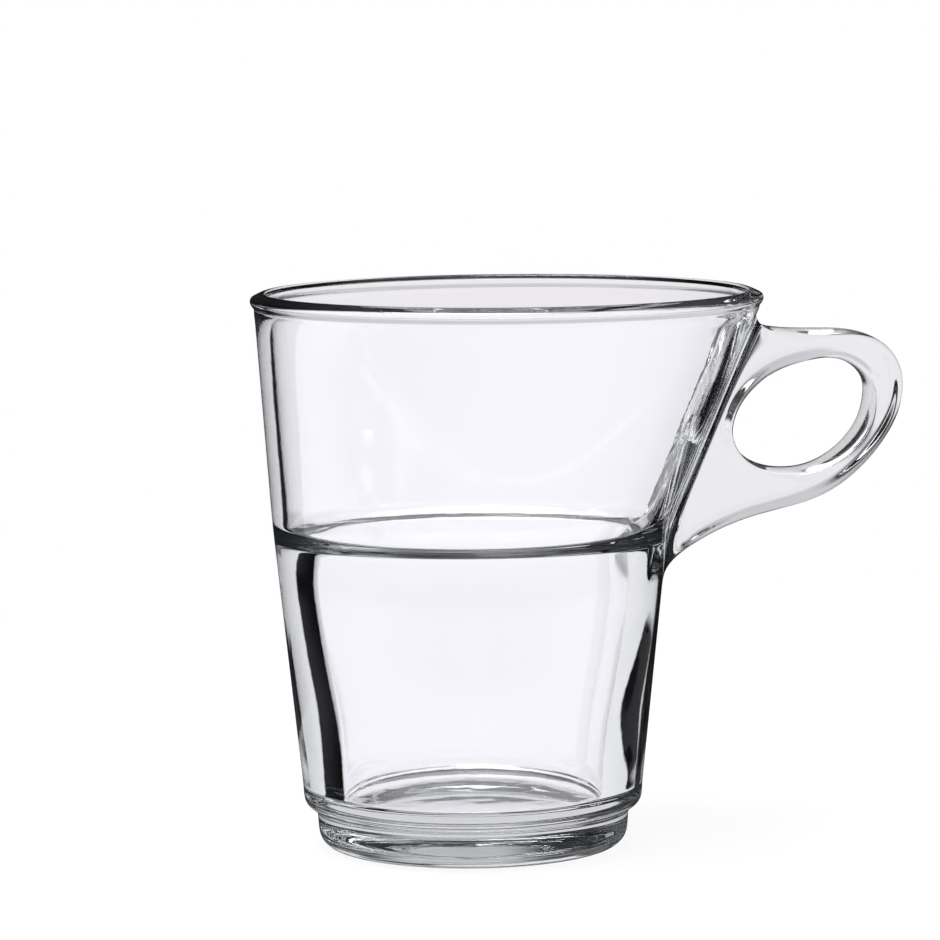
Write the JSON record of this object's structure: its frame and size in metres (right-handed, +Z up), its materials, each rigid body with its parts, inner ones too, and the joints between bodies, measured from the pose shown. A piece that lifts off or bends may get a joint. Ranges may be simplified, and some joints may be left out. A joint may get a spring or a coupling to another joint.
{
  "type": "cortado glass",
  "caption": "Clear pressed-glass coffee cup with a wall that flares to one side, an inner stacking ledge, a thick round foot and a flat loop handle.",
  "frame": {"origin": "centre of the foot, on the table that the cup stands on", "axes": "+Z up, +X from the cup's axis to the handle, the handle's plate lies in the XZ plane"},
  "size_m": [0.1082, 0.084, 0.0914],
  "materials": {
    "clear_glass": "clear polished soda-lime glass, pressed in one piece"
  },
  "bodies": {
    "root": {"foot": "clear_glass", "base": "clear_glass", "lower_wall": "clear_glass", "stacking_ledge": "clear_glass", "upper_wall": "clear_glass", "rim_bead": "clear_glass", "handle": "clear_glass"}
  },
  "joints": []
}
